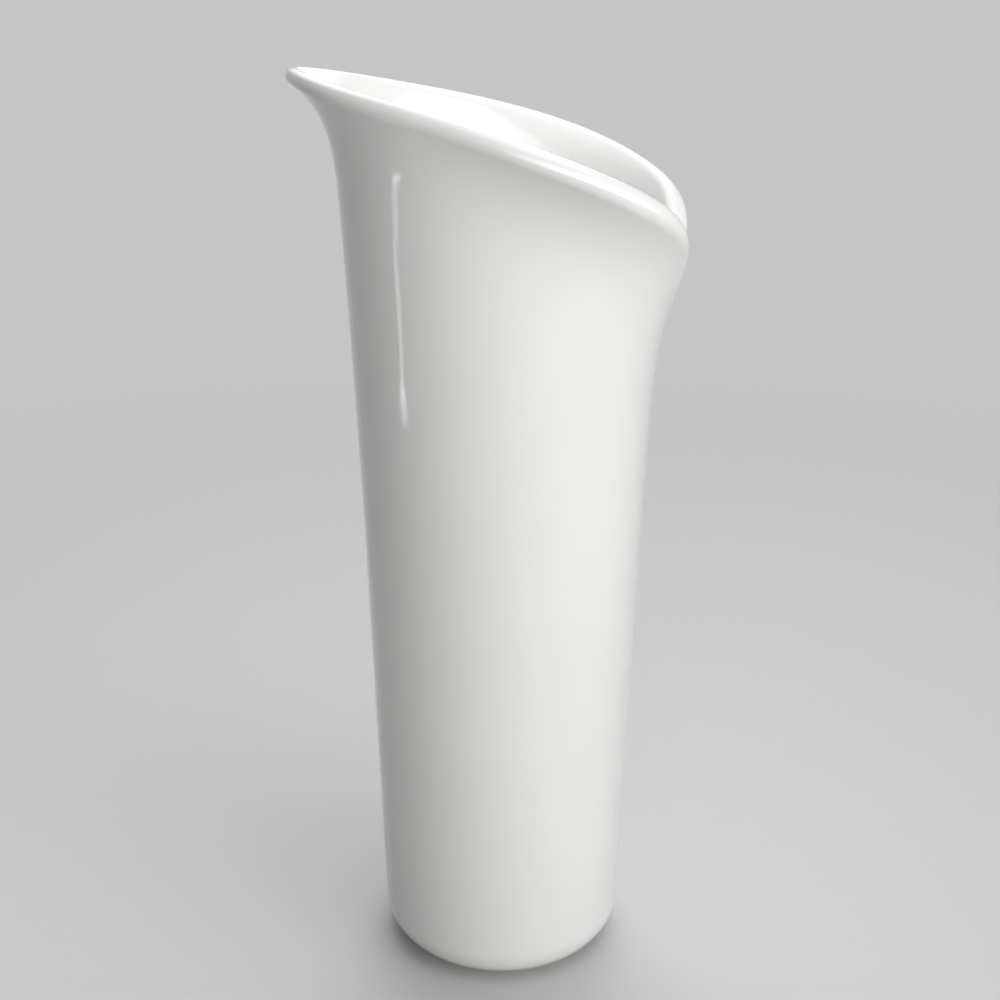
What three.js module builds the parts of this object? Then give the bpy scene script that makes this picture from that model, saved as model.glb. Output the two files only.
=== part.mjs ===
// Porcelain bud vase with a calla lily mouth, in millimetres, +Z up, standing on the plane z = 0.
// The drawn-out tip of the mouth points to -X and the low front of the lip to +X.
// Y = 0 is the plane of symmetry.

import * as THREE from "three";

// Foot, heel and floor
const bottomRadius = 28.05; // outside, at the top of the rounded heel
const heelRadius = 8.6; // rounding between the standing face and the wall
const footHeight = 1.6; // the foot ring, and so the depth of the recess under the floor
const footWidth = 3.5; // standing face, measured along the radius
const footDraft = 0.5; // slope of the foot ring's inner side
const footEdge = 0.3; // rounding of the standing face's inner edge
const footFillet = 0.5; // between the foot ring and the recess
const floorThickness = 4.5;
const floorFillet = 3.5; // inside, between the floor and the wall
const seatRise = 0.6; // straight rim of the floor piece above its fillet, where the wall is luted on

// Wall
const wallThickness = 3.2;
const collarHeight = 100; // seam between the straight wall and the mouth
const collarRadius = 30.77; // outside, at that seam

// Rim line: the height of the lip's top, going round from the tip to the front
const tipHeight = 200;
const sideFall = 12.6; // steady fall from the tip along both sides
const peakRounding = 0.123; // rounds the rim line where both sides meet at the tip
const frontFall = 19.3; // broad fall towards the front
const frontFallSpread = 59; // degrees
const frontDip = 14; // narrow dip in the middle of the front
const frontDipSpread = 19.5; // degrees

// Flare of the mouth
const bellFlare = 1.8; // slow widening, from the collar to the height of the tip
const bellCurl = 1.5; // the higher, the later that widening comes
const flareDepth = 48.8; // the lip's curl starts this far below it
const tipFlare = 8.95; // reach of the curl at the tip
const tipSpread = 35; // degrees
const tipRounding = 3; // degrees
const frontFlare = 10.1; // reach of the curl round the front and both sides
const frontSpread = 87; // degrees
const tipCurl = 8.75; // the higher, the later and sharper the curl comes
const frontCurl = 4.95;

// Lip thickness
const tipLip = 3.3;
const sideLip = 5.2;
const frontLip = 7;
const tipLipSpread = 40; // degrees
const frontLipSpread = 52; // degrees
const lipBlend = 14; // the wall thickens to the lip over this height

// Facets
const roundSteps = 80; // round pieces
const mouthSteps = 96; // mouth, all the way round
const tipCrowding = 0.35; // draws those steps together at the tip
const mouthRows = 16; // from the collar up to the lip
const rowCrowding = 1.7; // draws those rows together near the lip
const lipSteps = 8; // round the lip's half circle
const heelSteps = 5; // on each of the two pieces that share the heel
const filletSteps = 5;
const edgeSteps = 2; // of each small rounding on the foot ring

// Worked out from the values above
const heelCentre = bottomRadius - heelRadius;
const wallTaper = (collarRadius - bottomRadius) / (collarHeight - heelRadius);
const floorTop = footHeight + floorThickness;
const seatHeight = Math.max(heelRadius, floorTop + floorFillet) + seatRise;
const footSplit = Math.asin(1 - footHeight / heelRadius); // angle below level where the foot ring ends

const taperedRadius = (z) => bottomRadius + wallTaper * (z - heelRadius);
const radians = THREE.MathUtils.degToRad;

const glazedPorcelain = () =>
  new THREE.MeshStandardMaterial({ color: 0xf4f3f0, roughness: 0.12, metalness: 0 });
const barePorcelain = () =>
  new THREE.MeshStandardMaterial({ color: 0xe8e3d9, roughness: 0.65, metalness: 0 });

// Points of a circular arc in a profile, from one angle to the other, both ends included
function arc(centreRadius, centreHeight, radius, from, to, steps) {
  const points = [];
  for (let i = 0; i <= steps; i++) {
    const angle = THREE.MathUtils.lerp(from, to, i / steps);
    points.push(
      new THREE.Vector2(
        centreRadius + radius * Math.cos(angle),
        centreHeight + radius * Math.sin(angle),
      ),
    );
  }
  return points;
}

// A round piece, from a profile of (radius, height) points
function turned(name, profile, material) {
  const geometry = new THREE.LatheGeometry(profile, roundSteps);
  geometry.rotateX(Math.PI / 2);
  const mesh = new THREE.Mesh(geometry, material);
  mesh.name = name;
  return mesh;
}

// Foot ring: the standing face, and the lower part of the heel
function footRing() {
  const innerRadius = heelCentre - footWidth;
  const filletRadius = innerRadius - footDraft - footFillet;
  const quarter = Math.PI / 2;
  const profile = [
    ...arc(heelCentre, heelRadius, heelRadius, -quarter, -footSplit, heelSteps),
    ...arc(filletRadius, footHeight - footFillet, footFillet, quarter, 0, edgeSteps),
    ...arc(innerRadius + footEdge, footEdge, footEdge, -2 * quarter, -quarter, edgeSteps),
  ];
  profile.push(profile[0].clone());
  return turned("foot_ring", profile, barePorcelain());
}

// Floor: a disc on the foot ring, with the upper part of the heel and a rim that carries the wall
function baseFloor() {
  const rimRadius = taperedRadius(seatHeight);
  const insideRadius = rimRadius - wallThickness;
  const fillet = arc(
    insideRadius - floorFillet,
    floorTop + floorFillet,
    floorFillet,
    0,
    -Math.PI / 2,
    filletSteps,
  );
  const profile = [
    new THREE.Vector2(0, footHeight),
    ...arc(heelCentre, heelRadius, heelRadius, -footSplit, 0, heelSteps),
    new THREE.Vector2(rimRadius, seatHeight),
    new THREE.Vector2(insideRadius, seatHeight),
    ...fillet,
    new THREE.Vector2(0, floorTop),
  ];
  return turned("base_floor", profile, glazedPorcelain());
}

// Wall: a straight tube that widens a little towards the collar
function bodyWall() {
  const corner = (z, inset) => new THREE.Vector2(taperedRadius(z) - inset, z);
  const profile = [
    corner(seatHeight, 0),
    corner(collarHeight, 0),
    corner(collarHeight, wallThickness),
    corner(seatHeight, wallThickness),
    corner(seatHeight, 0),
  ];
  return turned("body_wall", profile, glazedPorcelain());
}

// 1 at the middle of a soft swelling, falling to 0 on both sides
const swell = (angle, spread) => Math.exp(-((angle / radians(spread)) ** 2));

// The same with a broad top, which falls off more steeply at its ends
const shoulder = (angle, spread) => Math.exp(-((angle / radians(spread)) ** 4));

// The same, drawn up to a rounded point
function point(angle, spread, rounding) {
  const round = radians(rounding);
  return Math.exp((round - Math.hypot(angle, round)) / radians(spread));
}

// The mouth's shape at one angle, measured from the tip (0) to the front (pi)
function mouthAt(angle) {
  const front = Math.PI - angle;
  const halfSine = Math.sin(angle / 2);
  const steadyFall = Math.hypot(halfSine, peakRounding) - peakRounding;
  const flare =
    tipFlare * point(angle, tipSpread, tipRounding) + frontFlare * shoulder(front, frontSpread);
  const lip =
    sideLip +
    (tipLip - sideLip) * swell(angle, tipLipSpread) +
    (frontLip - sideLip) * swell(front, frontLipSpread);
  return {
    flare,
    lip,
    curl: THREE.MathUtils.lerp(tipCurl, frontCurl, halfSine),
    rimLine: tipHeight - sideFall * steadyFall - frontFall * swell(front, frontFallSpread),
    dip: frontDip * swell(front, frontDipSpread),
  };
}

// Outside radius of the mouth and its slope at height z, with up as the share of the curl
// that lies below it: 0 where the curl starts and 1 at the lip
function mouthWall({ flare, curl }, z, up) {
  const bellHeight = tipHeight - collarHeight;
  const rise = Math.max(z - collarHeight, 0) / bellHeight;
  const radius = taperedRadius(z) + bellFlare * rise ** bellCurl + flare * up ** curl;
  const slope =
    wallTaper +
    ((bellFlare * bellCurl) / bellHeight) * rise ** (bellCurl - 1) +
    ((flare * curl) / flareDepth) * up ** (curl - 1);
  return { radius, slope };
}

// One section through the mouth as a closed loop of (radius, height) points:
// up the outside, over the lip's half circle and down the inside
function mouthSection(angle) {
  const shape = mouthAt(angle);
  const { lip, dip } = shape;
  const rimTop = shape.rimLine - dip;
  const upAtLip = 1 - dip / flareDepth; // the dip cuts the curl off early
  const lean = Math.atan(mouthWall(shape, rimTop, upAtLip).slope);
  const edge = rimTop - (lip / 2) * (1 + Math.sin(lean));
  const outside = [];
  const inside = [];
  for (let row = 0; row <= mouthRows; row++) {
    const z = THREE.MathUtils.lerp(edge, collarHeight, (1 - row / mouthRows) ** rowCrowding);
    const up = Math.max(upAtLip - (edge - z) / flareDepth, 0);
    const { radius, slope } = mouthWall(shape, z, up);
    const tilt = row === 0 ? 0 : Math.atan(slope); // the collar's foot is cut level
    const blend = THREE.MathUtils.smoothstep(z, edge - lipBlend, edge);
    const thickness = THREE.MathUtils.lerp(wallThickness, lip, blend);
    outside.push(new THREE.Vector2(radius, z));
    inside.push(
      new THREE.Vector2(radius - thickness * Math.cos(tilt), z + thickness * Math.sin(tilt)),
    );
  }
  const outerEnd = outside[mouthRows];
  const innerEnd = inside[mouthRows];
  const middle = outerEnd.clone().add(innerEnd).multiplyScalar(0.5);
  const out = outerEnd.clone().sub(middle);
  const along = new THREE.Vector2(-out.y, out.x);
  const round = [];
  for (let i = 1; i < lipSteps; i++) {
    const turn = (Math.PI * i) / lipSteps;
    round.push(
      middle
        .clone()
        .addScaledVector(out, Math.cos(turn))
        .addScaledVector(along, Math.sin(turn)),
    );
  }
  return [...outside, ...round, ...inside.reverse()];
}

// Mouth: the sections at all angles, skinned into one closed ring
function callaMouth() {
  const positions = [];
  const triangles = [];
  const loop = mouthSection(0).length;
  for (let i = 0; i < mouthSteps; i++) {
    const even = (2 * Math.PI * i) / mouthSteps;
    const turn = even - tipCrowding * Math.sin(even);
    const fromTip = Math.min(turn, 2 * Math.PI - turn);
    for (const { x: radius, y: z } of mouthSection(fromTip)) {
      positions.push(-radius * Math.cos(turn), -radius * Math.sin(turn), z);
    }
    const next = (i + 1) % mouthSteps;
    for (let j = 0; j < loop; j++) {
      const k = (j + 1) % loop;
      const a = i * loop + j;
      const b = next * loop + j;
      const c = next * loop + k;
      const d = i * loop + k;
      triangles.push(a, b, c, a, c, d);
    }
  }
  const geometry = new THREE.BufferGeometry();
  geometry.setAttribute("position", new THREE.Float32BufferAttribute(positions, 3));
  geometry.setIndex(triangles);
  geometry.computeVertexNormals();
  const mesh = new THREE.Mesh(geometry, glazedPorcelain());
  mesh.name = "calla_mouth";
  return mesh;
}

// The pieces stand round their common axis, and the whole is moved along X so that
// the origin lies under the middle of its overall box
const vase = new THREE.Group();
vase.add(footRing(), baseFloor(), bodyWall(), callaMouth());
const overall = new THREE.Box3().setFromObject(vase);
vase.position.x = -(overall.min.x + overall.max.x) / 2;

const part = new THREE.Group();
part.add(vase);

export default part;
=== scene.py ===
"""White porcelain bud vase with a calla lily mouth, glazed all over but for its foot ring."""

import math

import bmesh
import bpy
from mathutils import Matrix, Vector


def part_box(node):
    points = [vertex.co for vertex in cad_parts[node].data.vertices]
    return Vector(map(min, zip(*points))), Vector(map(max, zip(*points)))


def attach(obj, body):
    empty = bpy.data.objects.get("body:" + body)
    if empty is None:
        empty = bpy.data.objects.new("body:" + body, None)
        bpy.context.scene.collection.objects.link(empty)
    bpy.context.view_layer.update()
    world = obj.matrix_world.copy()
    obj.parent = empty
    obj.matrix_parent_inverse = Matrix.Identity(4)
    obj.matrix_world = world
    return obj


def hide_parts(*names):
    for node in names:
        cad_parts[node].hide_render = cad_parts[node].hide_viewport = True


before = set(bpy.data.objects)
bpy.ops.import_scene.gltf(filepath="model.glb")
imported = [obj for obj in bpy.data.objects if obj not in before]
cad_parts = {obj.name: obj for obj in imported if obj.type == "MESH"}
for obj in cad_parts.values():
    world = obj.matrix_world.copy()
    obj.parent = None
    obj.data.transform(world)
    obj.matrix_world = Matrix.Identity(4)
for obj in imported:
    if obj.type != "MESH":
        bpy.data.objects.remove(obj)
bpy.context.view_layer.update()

# Foot ring
# The bare porcelain ring that the vase stands on, with the lower part of the rounded heel.
# The glaze is wiped off it before firing, so that it doesn't stick to the kiln shelf, and
# its standing face is ground smooth afterwards.

MM = 0.001

wall_low, wall_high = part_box("body_wall")
AXIS_X = (wall_low[0] + wall_high[0]) / 2  # the tip leans out from the axis, so it isn't at 0
AXIS = Vector((AXIS_X, 0, 0))

TURNED_STEPS = 256  # round each piece that is turned on the wheel
BOTTOM_RADIUS = 28.05 * MM
HEEL_RADIUS = 8.6 * MM
HEEL_CENTRE = BOTTOM_RADIUS - HEEL_RADIUS
BARE_HEEL_RADIUS = 8.34 * MM  # tighter, because no glaze covers it
FOOT_HEIGHT = 1.6 * MM
FOOT_WIDTH = 3.5 * MM
FOOT_DRAFT = 0.5 * MM
FOOT_EDGE = 0.3 * MM  # rounding of the standing face's inner edge
FOOT_FILLET = 0.5 * MM  # between the ring and the recess under the floor

BARE_HEEL_STEPS = 16
FOOT_FILLET_STEPS = 6
FOOT_EDGE_STEPS = 5
SAME_SPOT = 0.001 * MM  # vertices nearer to each other than this are merged
ON_RING = 0.02 * MM  # a vertex nearer to a ring than this is on it
SMOOTH_ANGLE = math.radians(35)  # edges that bend more than this stay sharp

CLAY = (0.80, 0.765, 0.70, 1)
CLAY_CLOUD = (0.74, 0.70, 0.63, 1)
CLAY_WORN = (0.50, 0.49, 0.47, 1)
CLOUD_EDGE = (0.3, 0.7)  # a cloud's colour comes in between these values of its noise
CLAY_CLOUD_SIZE = 6 * MM
GRAIN_SIZE = 0.35 * MM
GRAIN_DEPTH = 0.03 * MM
WEAR_EDGE = (0.45, 0.6)  # the same for the wear, in the noise of the grain
WEAR_SHARE = 0.6
GROUND_EDGE = (0.02 * MM, 0.15 * MM)  # the grinding fades out between these heights
GRINDING_SCALE = 700.0  # the higher, the closer its rings
GRINDING_DEPTH = 0.01 * MM
BARE_ROUGHNESS = 0.72
GRAIN_ROUGHNESS = 0.2  # how much the roughness varies with the grain
GROUND_SMOOTHER = 0.18

# A Mix node's colour sockets share their names with its other sockets, so they go by number
FIRST_COLOUR, SECOND_COLOUR, MIXED_COLOUR = 6, 7, 2


class Value:
    """What a node gives, mostly a number: sums and products of it add Math nodes."""

    def __init__(self, nodes, socket):
        self.nodes = nodes
        self.socket = socket

    def math(self, operation, *others):
        return self.nodes.node(
            "ShaderNodeMath", {"operation": operation}, dict(enumerate((self, *others)))
        )

    def __add__(self, other):
        return self.math("ADD", other)

    __radd__ = __add__

    def __sub__(self, other):
        return self.math("SUBTRACT", other)

    def __rsub__(self, other):
        return self.nodes.node("ShaderNodeMath", {"operation": "SUBTRACT"}, {0: other, 1: self})

    def __mul__(self, other):
        return self.math("MULTIPLY", other)

    __rmul__ = __mul__

    def step(self, low, high):
        """0 below low and 1 above high, with a smooth rise between them."""
        return self.nodes.node(
            "ShaderNodeMapRange",
            {"interpolation_type": "SMOOTHSTEP"},
            {"Value": self, "From Min": low, "From Max": high},
        )


class Nodes:
    """The nodes of a material or of the room round the vase."""

    def __init__(self, owner):
        owner.use_nodes = True
        self.tree = owner.node_tree

    def node(self, kind, settings, sockets, output=0):
        """Adds a node of that type: its settings first, then its sockets' values or links."""
        new = self.tree.nodes.new(kind)
        for setting, value in settings.items():
            setattr(new, setting, value)
        for socket, value in sockets.items():
            if isinstance(value, Value):
                self.tree.links.new(value.socket, new.inputs[socket])
            else:
                new.inputs[socket].default_value = value
        return Value(self, new.outputs[output])

    def blend(self, share, first, second):
        """A colour that goes from the first to the second as the share goes from 0 to 1."""
        return self.node(
            "ShaderNodeMix",
            {"data_type": "RGBA"},
            {"Factor": share, FIRST_COLOUR: first, SECOND_COLOUR: second},
            MIXED_COLOUR,
        )

    def feed(self, value, name, socket):
        """Links a value to a socket of the node of that name."""
        self.tree.links.new(value.socket, self.tree.nodes[name].inputs[socket])


class Finish(Nodes):
    """A finish of its own material, with the Principled shader at the end of its nodes."""

    def __init__(self, name, **constants):
        self.material = bpy.data.materials.new(name)
        super().__init__(self.material)
        self.shader = self.tree.nodes["Principled BSDF"]
        for socket, value in constants.items():
            self.shader.inputs[socket.replace("_", " ")].default_value = value

    def vary(self, socket, value):
        """Feeds a varying value to one of the shader's own sockets."""
        self.feed(value, self.shader.name, socket)

    def place(self):
        """The point on the surface, in metres from the foot of the vase's axis."""
        spot = self.node("ShaderNodeTexCoord", {}, {}, "Object")
        return self.node("ShaderNodeVectorMath", {"operation": "SUBTRACT"}, {0: spot, 1: AXIS})

    def noise(self, spot, size, detail=2.0, roughness=0.5):
        """Cloudy variation from 0 to 1, with patches about that size across."""
        return self.node(
            "ShaderNodeTexNoise",
            {},
            {"Vector": spot, "Scale": 1 / size, "Detail": detail, "Roughness": roughness},
        )

    def relief(self, height, depth, under=None):
        """Bumps of that depth in metres, where the height is 1, on top of other bumps."""
        sockets = {"Height": height, "Distance": depth, "Strength": 1.0}
        if under is not None:
            sockets["Normal"] = under
        return self.node("ShaderNodeBump", {}, sockets)


def first_ring(name, steps, radius, height):
    """A ring of edges round the axis, left in edit mode: the start of a piece's wall."""
    bpy.ops.object.select_all(action="DESELECT")
    bpy.ops.mesh.primitive_circle_add(
        vertices=steps, radius=radius, location=(AXIS_X, 0, height), enter_editmode=True
    )
    piece = bpy.context.object
    piece.name = name
    piece.data.name = name
    bpy.ops.mesh.select_mode(type="EDGE")
    bpy.ops.mesh.select_all(action="SELECT")
    return piece


def throw(start, profile):
    """Draws the selected ring on, ring by ring, along a profile of (radius, height) points."""
    before = start
    for after in profile:
        scale = after[0] / before[0]
        bpy.ops.mesh.extrude_region_move(
            TRANSFORM_OT_translate={"value": (0, 0, after[1] - before[1])}
        )
        bpy.ops.transform.resize(value=(scale, scale, 1), center_override=(AXIS_X, 0, after[1]))
        before = after


def close_pole():
    """Draws the selected ring together to a point on the axis."""
    bpy.ops.mesh.extrude_region_move()
    bpy.ops.mesh.merge(type="CENTER")


def select_ring(piece, radius, height):
    """Selects the edges that lie on one ring."""
    mesh = bmesh.from_edit_mesh(piece.data)

    def on_it(vertex):
        spot = piece.matrix_world @ vertex.co - AXIS
        off_radius, off_height = math.hypot(spot.x, spot.y) - radius, spot.z - height
        return abs(off_radius) < ON_RING and abs(off_height) < ON_RING

    bpy.ops.mesh.select_all(action="DESELECT")
    for edge in mesh.edges:
        edge.select = all(on_it(vertex) for vertex in edge.verts)
    mesh.select_flush_mode()
    bmesh.update_edit_mesh(piece.data)


def finish_piece(piece, finish, node):
    """Closes and smooths a piece, glazes or leaves it bare, and puts it on the vase."""
    bpy.ops.mesh.select_all(action="SELECT")
    bpy.ops.mesh.remove_doubles(threshold=SAME_SPOT)
    bpy.ops.mesh.normals_make_consistent(inside=False)
    bpy.ops.object.mode_set(mode="OBJECT")
    bpy.ops.object.transform_apply(location=True, rotation=True, scale=True)
    bpy.ops.object.shade_smooth_by_angle(angle=SMOOTH_ANGLE)
    piece.data.materials.append(finish.material)
    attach(piece, "root")
    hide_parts(node)


def arc(centre_radius, centre_height, radius, start, end, steps):
    """(radius, height) points of a circular arc in a profile, both ends included."""
    angles = [start + (end - start) * i / steps for i in range(steps + 1)]
    return [
        (centre_radius + radius * math.cos(angle), centre_height + radius * math.sin(angle))
        for angle in angles
    ]


bare = Finish("bare_porcelain", Metallic=0.0, IOR=1.5)
spot = bare.place()
height = bare.node("ShaderNodeSeparateXYZ", {}, {"Vector": spot}, "Z")
grain = bare.noise(spot, GRAIN_SIZE, detail=3.0, roughness=0.6)
clouds = bare.noise(spot, CLAY_CLOUD_SIZE)
ground = 1 - height.step(*GROUND_EDGE)
clay_colour = bare.blend(clouds.step(*CLOUD_EDGE), CLAY, CLAY_CLOUD)
wear = ground * grain.step(*WEAR_EDGE) * WEAR_SHARE
bare.vary("Base Color", bare.blend(wear, clay_colour, CLAY_WORN))
grain_roughness = BARE_ROUGHNESS + (grain - 0.5) * GRAIN_ROUGHNESS
bare.vary("Roughness", grain_roughness - ground * GROUND_SMOOTHER)
grinding = bare.node(
    "ShaderNodeTexWave",
    {"wave_type": "RINGS", "rings_direction": "Z"},
    {"Vector": spot, "Scale": GRINDING_SCALE, "Distortion": 1.5, "Detail": 2.0},
    "Fac",
)
grain_relief = bare.relief(grain, GRAIN_DEPTH)
bare.vary("Normal", bare.relief(grinding * ground, GRINDING_DEPTH, grain_relief))

QUARTER = math.pi / 2
ring_inside = HEEL_CENTRE - FOOT_WIDTH
recess_radius = ring_inside - FOOT_DRAFT - FOOT_FILLET
fillet_height = FOOT_HEIGHT - FOOT_FILLET
bare_split = math.asin(1 - FOOT_HEIGHT / BARE_HEEL_RADIUS)
ring_profile = [
    *arc(HEEL_CENTRE, BARE_HEEL_RADIUS, BARE_HEEL_RADIUS, -QUARTER, -bare_split, BARE_HEEL_STEPS),
    *arc(recess_radius, fillet_height, FOOT_FILLET, QUARTER, 0, FOOT_FILLET_STEPS),
    *arc(ring_inside + FOOT_EDGE, FOOT_EDGE, FOOT_EDGE, 2 * QUARTER, 3 * QUARTER, FOOT_EDGE_STEPS),
]
foot_ring = first_ring("bare_foot_ring", TURNED_STEPS, *ring_profile[0])
throw(ring_profile[0], [*ring_profile[1:], ring_profile[0]])
finish_piece(foot_ring, bare, "foot_ring")

# Floor and heel
# The glazed floor of the vase: a disc on the foot ring, turned up outside into the rounded
# heel and inside into a fillet. Clear glaze pools a little under it and just above the foot,
# where it ends in a fine rolled edge.

FLOOR_THICKNESS = 4.5 * MM
FLOOR_FILLET = 3.5 * MM
SEAT_RISE = 0.6 * MM
WALL_THICKNESS = 3.2 * MM
COLLAR_HEIGHT = 100 * MM
COLLAR_RADIUS = 30.77 * MM
GLAZE_ROLL = 0.1 * MM

HEEL_STEPS = 28
FLOOR_FILLET_STEPS = 18
ROLL_STEPS = 3
FLAT_RINGS = (15 * MM, 8 * MM, 2 * MM)  # radii of the rings across a flat face
RECESS_RINGS = (20 * MM, *FLAT_RINGS)

GLAZE = (0.90, 0.895, 0.88, 1)
GLAZE_CLOUD = (0.885, 0.885, 0.875, 1)
GLAZE_POOLED = (0.80, 0.83, 0.82, 1)
GLAZE_CLOUD_SIZE = 25 * MM
POOL_EDGE = (1.6 * MM, 4.5 * MM)  # the pooled glaze thins out between these heights
POOL_SHARE = 0.6
PEEL_SIZE = 1.6 * MM
PEEL_DEPTH = 0.0015 * MM
WAVE_SIZE = 14 * MM
WAVE_DEPTH = 0.05 * MM
GLAZE_ROUGHNESS = 0.09
CLOUD_ROUGHNESS = 0.04  # how much the roughness varies with the clouds and with the peel
PEEL_ROUGHNESS = 0.02

WALL_TAPER = (COLLAR_RADIUS - BOTTOM_RADIUS) / (COLLAR_HEIGHT - HEEL_RADIUS)
FLOOR_TOP = FOOT_HEIGHT + FLOOR_THICKNESS
SEAT_HEIGHT = max(HEEL_RADIUS, FLOOR_TOP + FLOOR_FILLET) + SEAT_RISE
FOOT_SPLIT = math.asin(1 - FOOT_HEIGHT / HEEL_RADIUS)


def tapered_radius(z):
    """Outside radius of the straight wall at height z."""
    return BOTTOM_RADIUS + WALL_TAPER * (z - HEEL_RADIUS)


glaze = Finish(
    "glazed_porcelain",
    Metallic=0.0,
    IOR=1.5,
    Coat_Weight=0.5,
    Coat_Roughness=0.03,
    Coat_IOR=1.5,
)
spot = glaze.place()
height = glaze.node("ShaderNodeSeparateXYZ", {}, {"Vector": spot}, "Z")
clouds = glaze.noise(spot, GLAZE_CLOUD_SIZE)
pool = 1 - height.step(*POOL_EDGE)
white = glaze.blend(clouds.step(*CLOUD_EDGE), GLAZE, GLAZE_CLOUD)
glaze.vary("Base Color", glaze.blend(pool * POOL_SHARE, white, GLAZE_POOLED))
peel = glaze.noise(spot, PEEL_SIZE, detail=1.0)
cloud_roughness = GLAZE_ROUGHNESS + (clouds - 0.5) * CLOUD_ROUGHNESS
glaze.vary("Roughness", cloud_roughness + (peel - 0.5) * PEEL_ROUGHNESS)
waves = glaze.relief(glaze.noise(spot, WAVE_SIZE, detail=1.0), WAVE_DEPTH)
glaze.vary("Normal", glaze.relief(peel, PEEL_DEPTH, waves))

rim_radius = tapered_radius(SEAT_HEIGHT)
floor_inside = rim_radius - WALL_THICKNESS
fillet_radius = floor_inside - FLOOR_FILLET
fillet_height = FLOOR_TOP + FLOOR_FILLET
floor_profile = [
    *arc(HEEL_CENTRE, HEEL_RADIUS, HEEL_RADIUS, -FOOT_SPLIT, 0, HEEL_STEPS),
    (rim_radius, SEAT_HEIGHT),
    (floor_inside, SEAT_HEIGHT),
    *arc(fillet_radius, fillet_height, FLOOR_FILLET, 0, -QUARTER, FLOOR_FILLET_STEPS),
    *((radius, FLOOR_TOP) for radius in FLAT_RINGS),
]
base_floor = first_ring("glazed_floor_and_heel", TURNED_STEPS, *floor_profile[0])
throw(floor_profile[0], floor_profile[1:])
close_pole()
select_ring(base_floor, *floor_profile[0])
throw(floor_profile[0], [(radius, FOOT_HEIGHT) for radius in RECESS_RINGS])
close_pole()
select_ring(base_floor, *floor_profile[0])
bpy.ops.mesh.bevel(offset=GLAZE_ROLL, segments=ROLL_STEPS, affect="EDGES")
finish_piece(base_floor, glaze, "base_floor")

# Wall
# The glazed tube that holds the water, a little wider at the top. Its two ends are luted to
# the floor and to the mouth with slip, and the glaze covers the seams.

WALL_STEPS = 16

wall_height = COLLAR_HEIGHT - SEAT_HEIGHT
wall_heights = [SEAT_HEIGHT + wall_height * i / WALL_STEPS for i in range(WALL_STEPS + 1)]
wall_outside = [(tapered_radius(z), z) for z in wall_heights]
wall_inside = [(radius - WALL_THICKNESS, z) for radius, z in reversed(wall_outside)]
body_wall = first_ring("glazed_wall", TURNED_STEPS, *wall_outside[0])
throw(wall_outside[0], [*wall_outside[1:], *wall_inside, wall_outside[0]])
finish_piece(body_wall, glaze, "body_wall")

# Calla lily mouth
# The collar above the wall, flared all round like a calla lily: drawn out to a tip at -X, and
# low in front, where the edge dips between two soft lobes. Its lip is a full round, thin at
# the tip and thick in front.

TIP_HEIGHT = 200 * MM
SIDE_FALL = 12.6 * MM  # steady fall from the tip along both sides
PEAK_ROUNDING = 0.123  # rounds the rim line where both sides meet at the tip
FRONT_FALL = 19.3 * MM  # broad fall towards the front
FRONT_FALL_SPREAD = 59  # degrees, as all spreads
FRONT_DIP = 14 * MM  # narrow dip in the middle of the front
FRONT_DIP_SPREAD = 19.5
BELL_FLARE = 1.8 * MM  # slow widening, from the collar to the height of the tip
BELL_CURL = 1.5  # the higher, the later that widening comes
FLARE_DEPTH = 48.8 * MM  # the lip's curl starts this far below it
TIP_FLARE = 8.95 * MM  # reach of the curl at the tip
TIP_SPREAD = 35
TIP_ROUNDING = 3  # degrees
FRONT_FLARE = 10.1 * MM  # reach of the curl round the front and both sides
FRONT_SPREAD = 87
TIP_CURL = 8.75  # the higher, the later and sharper the curl comes
FRONT_CURL = 4.95
TIP_LIP = 3.3 * MM  # thickness of the lip
SIDE_LIP = 5.2 * MM
FRONT_LIP = 7 * MM
TIP_LIP_SPREAD = 40
FRONT_LIP_SPREAD = 52
LIP_BLEND = 14 * MM  # the wall thickens to the lip over this height

MOUTH_STEPS = 264
TIP_CROWDING = 0.45  # draws those steps together at the tip
MOUTH_ROWS = 48  # from the collar up to the lip
ROW_CROWDING = 1.7  # draws those rows together near the lip
LIP_STEPS = 20  # round the lip's half circle


def swell(angle, spread):
    """1 at the middle of a soft swelling, falling to 0 on both sides."""
    return math.exp(-((angle / math.radians(spread)) ** 2))


def shoulder(angle, spread):
    """The same with a broad top, which falls off more steeply at its ends."""
    return math.exp(-((angle / math.radians(spread)) ** 4))


def lily_tip(angle, spread, rounding):
    """The same, drawn up to a rounded point."""
    rounded = math.radians(rounding)
    return math.exp((rounded - math.hypot(angle, rounded)) / math.radians(spread))


def mouth_wall(shape, z, up):
    """Outside radius and slope at height z, with up as the share of the curl below it."""
    bell_height = TIP_HEIGHT - COLLAR_HEIGHT
    rise = max(z - COLLAR_HEIGHT, 0) / bell_height
    flare, curl = shape["flare"], shape["curl"]
    radius = tapered_radius(z) + BELL_FLARE * rise**BELL_CURL + flare * up**curl
    slope = WALL_TAPER + BELL_FLARE * BELL_CURL / bell_height * rise ** (BELL_CURL - 1)
    slope += flare * curl / FLARE_DEPTH * up ** (curl - 1)
    return radius, slope


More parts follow.
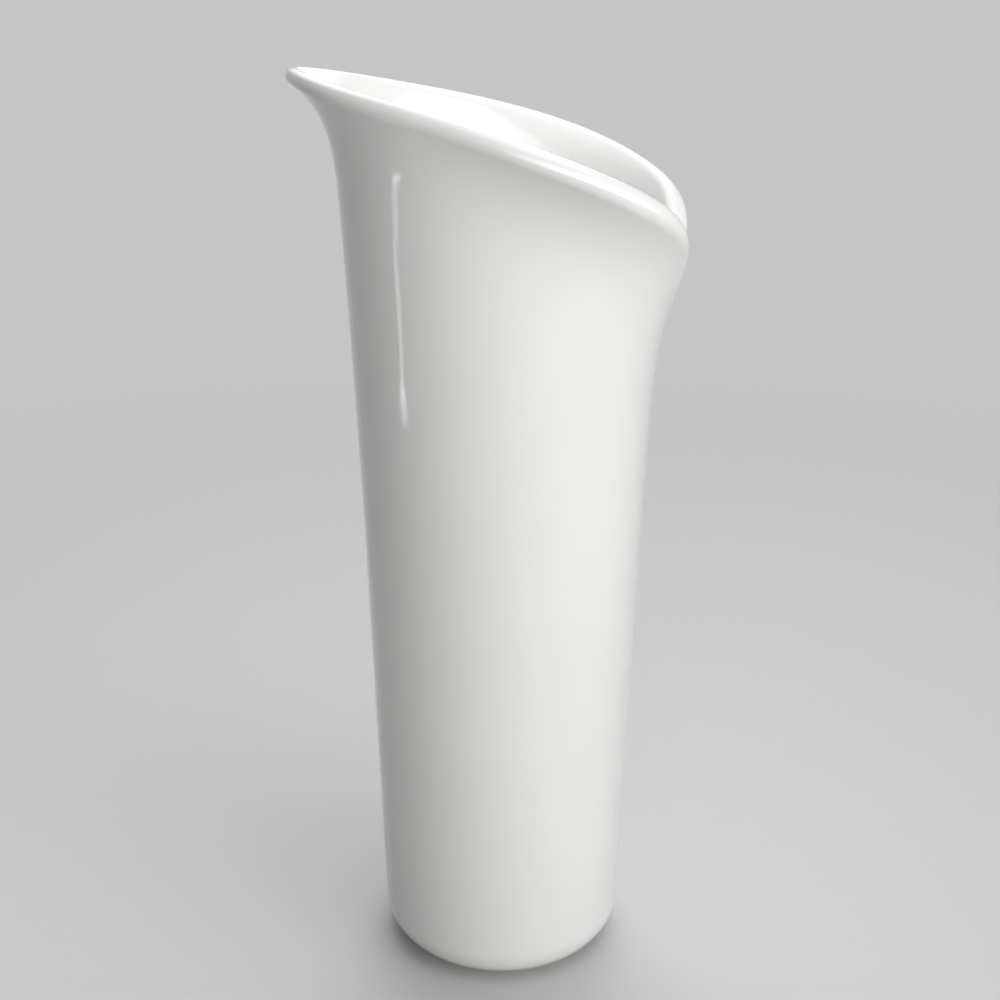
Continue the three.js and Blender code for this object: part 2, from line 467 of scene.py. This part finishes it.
def mouth_shape(angle):
    """The lip and the flare at one angle from the tip."""
    front = math.pi - angle
    half_sine = math.sin(angle / 2)
    steady_fall = math.hypot(half_sine, PEAK_ROUNDING) - PEAK_ROUNDING
    flare = TIP_FLARE * lily_tip(angle, TIP_SPREAD, TIP_ROUNDING)
    flare += FRONT_FLARE * shoulder(front, FRONT_SPREAD)
    lip = SIDE_LIP + (TIP_LIP - SIDE_LIP) * swell(angle, TIP_LIP_SPREAD)
    lip += (FRONT_LIP - SIDE_LIP) * swell(front, FRONT_LIP_SPREAD)
    rim_line = TIP_HEIGHT - SIDE_FALL * steady_fall - FRONT_FALL * swell(front, FRONT_FALL_SPREAD)
    dip = FRONT_DIP * swell(front, FRONT_DIP_SPREAD)
    shape = {"flare": flare, "curl": TIP_CURL + (FRONT_CURL - TIP_CURL) * half_sine, "lip": lip}
    shape["up_at_lip"] = 1 - dip / FLARE_DEPTH
    lean = math.atan(mouth_wall(shape, rim_line - dip, shape["up_at_lip"])[1])
    shape["edge"] = rim_line - dip - lip / 2 * (1 + math.sin(lean))
    return shape


def mouth_sides(shape, row):
    """The outside and the inside point of the wall's section on one row."""
    edge = shape["edge"]
    z = edge + (COLLAR_HEIGHT - edge) * (1 - row / MOUTH_ROWS) ** ROW_CROWDING
    up = max(shape["up_at_lip"] - (edge - z) / FLARE_DEPTH, 0)
    radius, slope = mouth_wall(shape, z, up)
    tilt = math.atan(slope) if row else 0
    near_lip = max(1 - (edge - z) / LIP_BLEND, 0)
    blend = near_lip**2 * (3 - 2 * near_lip)
    thickness = WALL_THICKNESS + (shape["lip"] - WALL_THICKNESS) * blend
    outside = Vector((radius, z))
    inside = Vector((radius - thickness * math.cos(tilt), z + thickness * math.sin(tilt)))
    return outside, inside


def mouth_point(angle, course):
    """(radius, height) on one ring: up the outside, over the lip and down the inside."""
    shape = mouth_shape(angle)
    if course <= MOUTH_ROWS:
        return mouth_sides(shape, course)[0]
    over = course - MOUTH_ROWS
    if over >= LIP_STEPS:
        return mouth_sides(shape, MOUTH_ROWS - (over - LIP_STEPS))[1]
    outside, inside = mouth_sides(shape, MOUTH_ROWS)
    middle = (outside + inside) / 2
    out = outside - middle
    along = Vector((-out.y, out.x))
    turn = math.pi * over / LIP_STEPS
    return middle + out * math.cos(turn) + along * math.sin(turn)


def shape_ring(piece, place_vertex):
    """Moves each vertex of the selected ring in its own upright plane through the axis."""
    mesh = bmesh.from_edit_mesh(piece.data)
    for vertex in mesh.verts:
        if vertex.select:
            spot = piece.matrix_world @ vertex.co - AXIS
            azimuth = math.atan2(spot.y, spot.x)
            azimuth, radius, z = place_vertex(azimuth)
            spot = Vector((radius * math.cos(azimuth), radius * math.sin(azimuth), z)) + AXIS
            vertex.co = piece.matrix_world.inverted() @ spot
    bmesh.update_edit_mesh(piece.data)


def crowd(azimuth):
    """Draws the first ring's vertices together towards the tip, where the form is sharpest."""
    from_tip = azimuth - math.pi
    return math.pi + from_tip - TIP_CROWDING * math.sin(from_tip), COLLAR_RADIUS, COLLAR_HEIGHT


def course_of(course):
    """How the vertices of one course of the mouth are placed."""

    def place_vertex(azimuth):
        radius, z = mouth_point(math.pi - abs(azimuth), course)
        return azimuth, radius, z

    return place_vertex


mouth = first_ring("glazed_calla_mouth", MOUTH_STEPS, COLLAR_RADIUS, COLLAR_HEIGHT)
shape_ring(mouth, crowd)
for course in range(1, 2 * MOUTH_ROWS + LIP_STEPS + 1):
    bpy.ops.mesh.extrude_region_move()
    shape_ring(mouth, course_of(course))
bpy.ops.mesh.extrude_region_move()
shape_ring(mouth, course_of(0))
finish_piece(mouth, glaze, "calla_mouth")

# Table
# A plain pale table top, matt, that fades into an even pale background behind the vase. The
# fading shows to the camera and in reflections, but gives no light.

PALE = (0.56, 0.56, 0.56, 1)
TABLE_SHOWN = (0.69, 0.69, 0.69, 1)
TABLE_LIGHTING = (0.25, 0.25, 0.25, 1)  # its colour for the light that it throws back
TABLE_EDGE = (0.15, 0.60)  # it fades between these distances from the axis, in metres
TABLE_SIZE = 14


def seen(nodes):
    """1 where it is looked at, straight or in a reflection, and 0 where it only lights."""
    rays = nodes.node("ShaderNodeLightPath", {}, {}, "Is Camera Ray")
    for kind in ("Is Glossy Ray", "Is Transmission Ray"):
        rays = rays + nodes.node("ShaderNodeLightPath", {}, {}, kind)
    return rays.math("MINIMUM", 1.0)


table_paint = Finish("table_paint", Metallic=0.0, Roughness=0.85, Specular_IOR_Level=0.2)
spot = table_paint.place()
distance = table_paint.node("ShaderNodeVectorMath", {"operation": "LENGTH"}, {0: spot}, "Value")
shown = seen(table_paint)
table_paint.vary("Base Color", table_paint.blend(shown, TABLE_LIGHTING, TABLE_SHOWN))
backdrop = table_paint.node("ShaderNodeEmission", {}, {"Color": PALE, "Strength": 1.0})
painted = Value(table_paint, table_paint.shader.outputs["BSDF"])
fading = shown * distance.step(*TABLE_EDGE)
faded = table_paint.node("ShaderNodeMixShader", {}, {"Fac": fading, 1: painted, 2: backdrop})
table_paint.feed(faded, "Material Output", "Surface")

bpy.ops.object.select_all(action="DESELECT")
bpy.ops.mesh.primitive_plane_add(size=TABLE_SIZE)
table = bpy.context.object
table.name = "table"
table.data.materials.append(table_paint.material)

# Lights
# Large soft boxes low on the right and in front, and weaker ones above the vase and behind
# it, in a dim room. The low one behind has no reflection. A thin upright row of small lamps
# low on the left, with a knob on top and a drop below, shows only as the gleam on the glaze.

UP = Vector((0, 0, 1))
BOX_SIZE = 1.4
BOX_SPREAD = math.radians(75)
BOX_DISTANCE = 1.1
BOX_AIM = AXIS + UP * 0.12  # the point that the boxes face

GLEAM_RADIANCE = 6.0  # watts from each square metre of a lamp that shines to all sides
GLEAM_TOP = Vector((-247.6, -105.6, 114.2)) * MM + AXIS
GLEAM_FOOT = Vector((-243.3, -89.7, 46.9)) * MM + AXIS
GLEAM_UP = (GLEAM_TOP - GLEAM_FOOT).normalized()

ROOM_LIGHT = (0.04, 0.04, 0.04, 1)


def hang(name, lamp, place, facing, up):
    """Puts a lamp at a place, shining along facing, with its long side along up."""
    across = facing.cross(up).normalized()
    turn = Matrix((across, across.cross(facing), -facing)).transposed().to_4x4()
    holder = bpy.data.objects.new(name, lamp)
    holder.matrix_world = Matrix.Translation(place) @ turn
    holder.visible_camera = False
    bpy.context.scene.collection.objects.link(holder)
    return holder


def soft_box(name, azimuth, elevation, power):
    """A large feathered lamp at that bearing from the middle of the vase, facing it."""
    bearing, rise = math.radians(azimuth), math.radians(elevation)
    level = Vector((math.cos(bearing), math.sin(bearing), 0))
    away = level * math.cos(rise) + UP * math.sin(rise)
    lamp = bpy.data.lights.new(name, "AREA")
    lamp.size = BOX_SIZE
    lamp.spread = BOX_SPREAD
    lamp.energy = power
    return hang(name, lamp, BOX_AIM + away * BOX_DISTANCE, -away, UP)


soft_box("right_box", azimuth=-30, elevation=5, power=4.1)
soft_box("front_box", azimuth=-75, elevation=0, power=3.8)
soft_box("top_box", azimuth=0, elevation=80, power=2.0)
soft_box("back_box", azimuth=100, elevation=45, power=2.2)
back_fill = soft_box("back_fill", azimuth=95, elevation=12, power=2.6)
back_fill.visible_glossy = False


def gleam_lamp(name, shape, heights, aside, width, mirrored, beam, strength=1.0):
    """A narrow-beam lamp in the upright row, which shows only as its own reflection.

    heights are its lower and upper end along the row, aside is how far off the row it hangs,
    and width is across the row, all in millimetres. mirrored is the bearing and rise, in
    degrees, of the light that the glaze mirrors to the camera. beam is the rise and half
    spread of all its light, which ends below the flare of the mouth, where it would show
    a second time.
    """
    (low, high), (bearing, mirrored_rise) = heights, mirrored
    rise, half_spread = (math.radians(angle) for angle in beam)
    bearing, off = math.radians(bearing), abs(rise - math.radians(mirrored_rise))
    facing = Vector((math.cos(bearing), math.sin(bearing), math.tan(rise))).normalized()
    lamp = bpy.data.lights.new(name, "AREA")
    lamp.shape = shape
    lamp.size = width * MM
    lamp.size_y = (high - low) * math.cos(rise) * MM
    lamp.spread = 2 * half_spread
    area = lamp.size * lamp.size_y * (math.pi / 4 if shape == "ELLIPSE" else 1)
    narrowing = 1 - half_spread / math.tan(half_spread)  # a narrower beam needs less power
    share = 1 - math.tan(off) / math.tan(half_spread)  # of its strength, where it is mirrored
    lamp.energy = strength * GLEAM_RADIANCE * area * narrowing / share
    across = facing.cross(GLEAM_UP).normalized()
    place = GLEAM_FOOT + (GLEAM_UP * (low + high) / 2 + across * aside) * MM
    hang(name, lamp, place, facing, GLEAM_UP).visible_diffuse = False


gleam_lamp("gleam_knob", "ELLIPSE", (62, 66), -0.5, 34, (17.9, 16.6), (30, 15), strength=2.6)
gleam_lamp("gleam_top", "RECTANGLE", (65, 73), -6, 21, (16.8, 14), (14, 20))
gleam_lamp("gleam_neck", "RECTANGLE", (57, 65), -13, 14, (14.6, 13.6), (6, 10))
gleam_lamp("gleam_upper", "RECTANGLE", (48, 57), -8.5, 20, (15.8, 14.3), (8.5, 10))
gleam_lamp("gleam_middle", "RECTANGLE", (40, 48), -6.5, 18, (15.8, 15.2), (10.5, 10.3))
gleam_lamp("gleam_lower", "RECTANGLE", (20, 40), -4, 16, (15.7, 16.7), (12, 11))
gleam_lamp("gleam_foot", "RECTANGLE", (10, 20), -3, 16, (15.4, 18.5), (16, 11.5))
gleam_lamp("gleam_drop", "ELLIPSE", (1.5, 16.5), -1, 36, (15.2, 19), (16, 12), strength=1.15)

room = bpy.data.worlds.new("room")
room_nodes = Nodes(room)
room_nodes.feed(room_nodes.blend(seen(room_nodes), ROOM_LIGHT, PALE), "Background", "Color")
bpy.context.scene.world = room
bpy.context.scene.view_settings.view_transform = "Standard"

# Camera
# A hand-held view from a little above the lip, close to the vase. Its place, its angles and
# its lens are those at which the vase's outline fits the photograph's.

CAMERA_SPOT = Vector((32.96, -288.44, 207.82)) * MM + AXIS
CAMERA_BEARING = math.radians(6.654)  # how far it is turned to the left of +Y
CAMERA_DOWN = math.radians(18.932)
CAMERA_ROLL = math.radians(0.187)
FILM_WIDTH = 36
LENS = 49.62  # focal length on a film of that width, both in millimetres
CAMERA_NEAR = 0.01

camera_data = bpy.data.cameras.new("camera")
camera_data.sensor_width = FILM_WIDTH
camera_data.lens = LENS
camera_data.clip_start = CAMERA_NEAR
camera = bpy.data.objects.new("camera", camera_data)
turn = (
    Matrix.Rotation(CAMERA_BEARING, 4, "Z")
    @ Matrix.Rotation(math.pi / 2 - CAMERA_DOWN, 4, "X")
    @ Matrix.Rotation(CAMERA_ROLL, 4, "Z")
)
camera.matrix_world = Matrix.Translation(CAMERA_SPOT) @ turn
bpy.context.scene.collection.objects.link(camera)
bpy.context.scene.camera = camera

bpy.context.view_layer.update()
